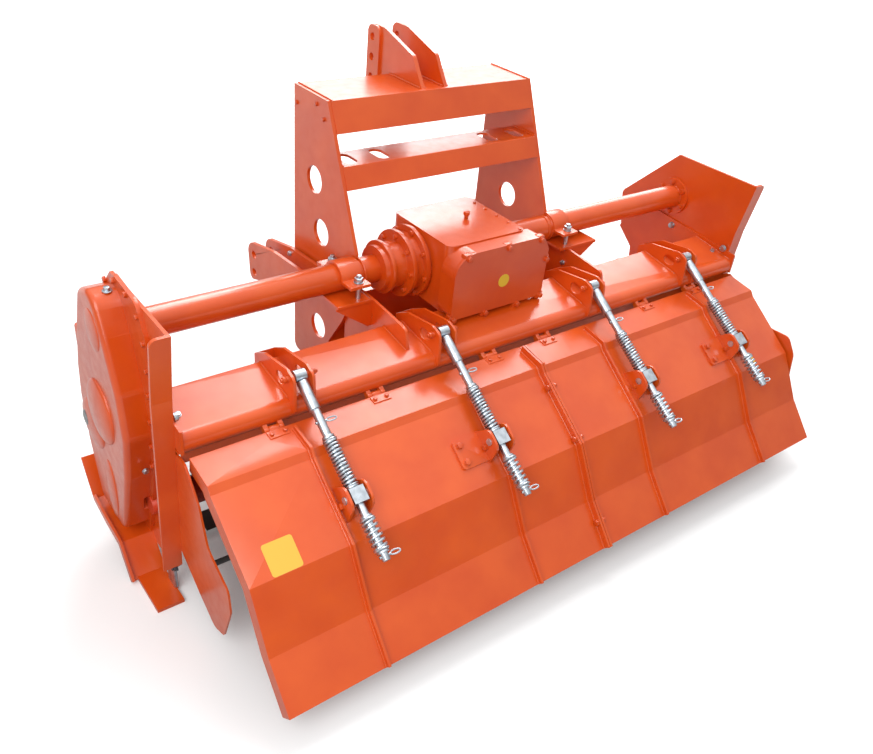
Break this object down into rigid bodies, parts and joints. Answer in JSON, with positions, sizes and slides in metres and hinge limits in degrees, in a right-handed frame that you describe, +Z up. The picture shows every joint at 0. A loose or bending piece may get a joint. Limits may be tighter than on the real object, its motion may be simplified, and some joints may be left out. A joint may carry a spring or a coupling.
{
  "type": "rotary tiller",
  "caption": "Wide tractor-mounted rotary tiller with side gear drive, L-blade rotor, three-point headstock and a hinged tailgate held by spring rods.",
  "frame": {"origin": "on the ground, under the middle of the whole machine's bounding box", "axes": "+X the machine's right, +Y the direction of travel, +Z up"},
  "size_m": [2.539, 1.4784, 1.4],
  "materials": {
    "red_paint": "gloss",
    "zinc": "zinc plated",
    "bright_steel": "machined",
    "blade_steel": "forged"
  },
  "bodies": {
    "frame": {"side_plate_left": "red_paint", "side_plate_right": "red_paint", "hood": "red_paint", "cross_tube_left": "red_paint", "cross_tube_right": "red_paint", "gearbox": "red_paint", "gearbox_cover": "red_paint", "drive_case": "red_paint", "drive_cap": "red_paint", "rotor_bearing": "red_paint", "mast_plate_left": "red_paint", "mast_plate_right": "red_paint", "mast_beam": "red_paint", "mast_cross_plate": "red_paint", "hose_shelf": "red_paint", "top_link_ears": "red_paint", "lower_hitch_left": "red_paint", "lower_hitch_right": "red_paint", "front_beam": "red_paint", "tube_saddles": "red_paint", "clamp_brackets": "red_paint", "braces": "red_paint", "rod_pods": "red_paint", "skid_left": "red_paint", "skid_right": "red_paint", "deflector_left": "red_paint", "deflector_right": "red_paint", "gate_hinges": "red_paint"},
    "rotor": {"rotor": "red_paint"},
    "pto_shaft": {"pto_shaft": "bright_steel"},
    "tailgate": {"tailgate_left": "red_paint", "tailgate_right": "red_paint", "rod_brackets": "red_paint"},
    "rod_1": {"spring_rod_1": "zinc", "upper_spring_1": "zinc"},
    "trunnion_1": {"trunnion_block_1": "zinc"},
    "rod_2": {"spring_rod_2": "zinc", "upper_spring_2": "zinc"},
    "trunnion_2": {"trunnion_block_2": "zinc"},
    "rod_3": {"spring_rod_3": "zinc", "upper_spring_3": "zinc"},
    "trunnion_3": {"trunnion_block_3": "zinc"},
    "rod_4": {"spring_rod_4": "zinc", "upper_spring_4": "zinc"},
    "trunnion_4": {"trunnion_block_4": "zinc"}
  },
  "joints": [
    {"name": "rotor_spin", "type": "hinge", "parent": "frame", "child": "rotor", "pos_m": [0.0075, 0.03768, 0.25], "axis": [1, 0, 0], "continuous": true},
    {"name": "pto_spin", "type": "hinge", "parent": "frame", "child": "pto_shaft", "pos_m": [0.0075, 0.43968, 0.77], "axis": [0, 1, 0], "continuous": true},
    {"name": "tailgate_lift", "type": "hinge", "parent": "frame", "child": "tailgate", "pos_m": [0.0075, -0.18232, 0.567], "axis": [-1, 0, 0], "range_deg": [0, 30], "deforming": ["upper_spring_1", "upper_spring_2", "upper_spring_3", "upper_spring_4"]},
    {"name": "rod_1_eye", "type": "hinge", "parent": "frame", "child": "rod_1", "pos_m": [-0.79241, -0.15032, 0.693], "axis": [-1, 0, 0], "range_deg": [0, 23.5]},
    {"name": "trunnion_1_turn", "type": "hinge", "parent": "tailgate", "child": "trunnion_1", "pos_m": [-0.79241, -0.46088, 0.48822], "axis": [-1, 0, 0], "range_deg": [-7, 0]},
    {"name": "rod_2_eye", "type": "hinge", "parent": "frame", "child": "rod_2", "pos_m": [-0.29275, -0.15032, 0.693], "axis": [-1, 0, 0], "range_deg": [0, 23.5]},
    {"name": "trunnion_2_turn", "type": "hinge", "parent": "tailgate", "child": "trunnion_2", "pos_m": [-0.29275, -0.46088, 0.48822], "axis": [-1, 0, 0], "range_deg": [-7, 0]},
    {"name": "rod_3_eye", "type": "hinge", "parent": "frame", "child": "rod_3", "pos_m": [0.36734, -0.15032, 0.693], "axis": [-1, 0, 0], "range_deg": [0, 23.5]},
    {"name": "trunnion_3_turn", "type": "hinge", "parent": "tailgate", "child": "trunnion_3", "pos_m": [0.36734, -0.46088, 0.48822], "axis": [-1, 0, 0], "range_deg": [-7, 0]},
    {"name": "rod_4_eye", "type": "hinge", "parent": "frame", "child": "rod_4", "pos_m": [0.87273, -0.15032, 0.693], "axis": [-1, 0, 0], "range_deg": [0, 23.5]},
    {"name": "trunnion_4_turn", "type": "hinge", "parent": "tailgate", "child": "trunnion_4", "pos_m": [0.87273, -0.46088, 0.48822], "axis": [-1, 0, 0], "range_deg": [-7, 0]}
  ],
  "couplings": [
    {"joint": "pto_spin", "follows": "rotor_spin", "ratio": 2.4},
    {"joint": "rod_1_eye", "follows": "tailgate_lift", "ratio": 0.774},
    {"joint": "trunnion_1_turn", "follows": "tailgate_lift", "ratio": -0.226},
    {"joint": "rod_2_eye", "follows": "tailgate_lift", "ratio": 0.774},
    {"joint": "trunnion_2_turn", "follows": "tailgate_lift", "ratio": -0.226},
    {"joint": "rod_3_eye", "follows": "tailgate_lift", "ratio": 0.774},
    {"joint": "trunnion_3_turn", "follows": "tailgate_lift", "ratio": -0.226},
    {"joint": "rod_4_eye", "follows": "tailgate_lift", "ratio": 0.774},
    {"joint": "trunnion_4_turn", "follows": "tailgate_lift", "ratio": -0.226}
  ]
}
